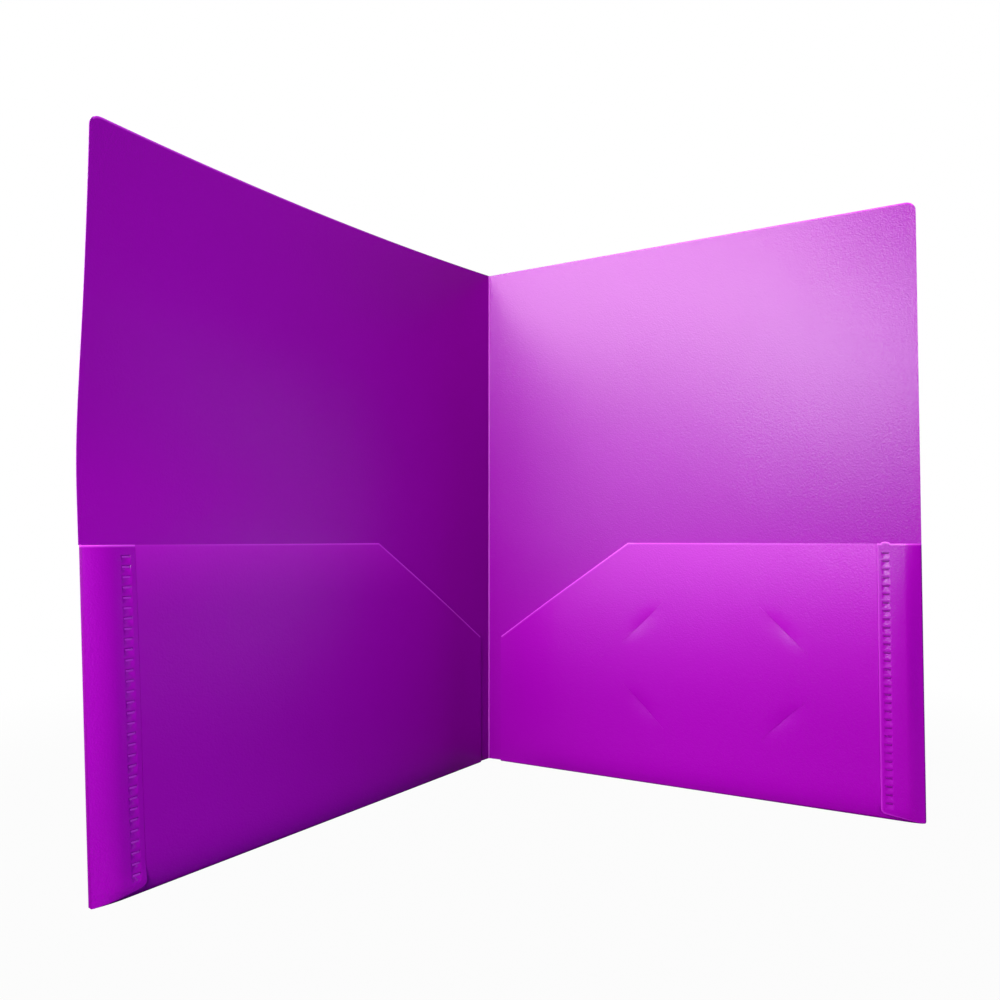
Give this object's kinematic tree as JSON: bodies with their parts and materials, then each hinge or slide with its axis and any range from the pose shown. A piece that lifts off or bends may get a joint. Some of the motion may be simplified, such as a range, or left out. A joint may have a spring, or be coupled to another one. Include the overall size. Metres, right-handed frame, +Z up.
{
  "type": "two pocket folder",
  "caption": "Hinged pocket folder of scored plastic sheet, standing open, with slanted pocket mouths, welded side flaps and card slits, for carrying loose letter-size sheets.",
  "frame": {"origin": "on the floor under the middle of the open folder's box", "axes": "+Z up along the spine; the spine is at the back (+Y) and the covers open towards -Y, the left cover towards -X and the right cover towards +X"},
  "size_m": [0.3724, 0.1515, 0.3],
  "materials": {
    "sheet": "fine matte grain on purple polypropylene sheet",
    "crease": "same sheet, rounded and slightly polished where it is folded",
    "weld": "pressed and remelted sheet, smoother than the rest",
    "spine": "stress-whitened crease line"
  },
  "bodies": {
    "right_half": {"right_cover": "sheet", "right_pocket": "sheet", "right_bottom_fold": "crease", "right_side_flap": "sheet", "right_side_fold": "crease", "right_weld_row": "weld", "spine_crease": "spine"},
    "left_half": {"left_cover": "sheet", "left_pocket": "sheet", "left_bottom_fold": "crease", "left_side_flap": "sheet", "left_side_fold": "crease", "left_weld_row": "weld"}
  },
  "joints": [
    {"name": "spine_hinge", "type": "hinge", "parent": "right_half", "child": "left_half", "pos_m": [0.00518, 0.07513, 0], "axis": [0, 0, -1], "range_deg": [-91, 209], "stiffness_Nm_per_rad": 0.02}
  ]
}
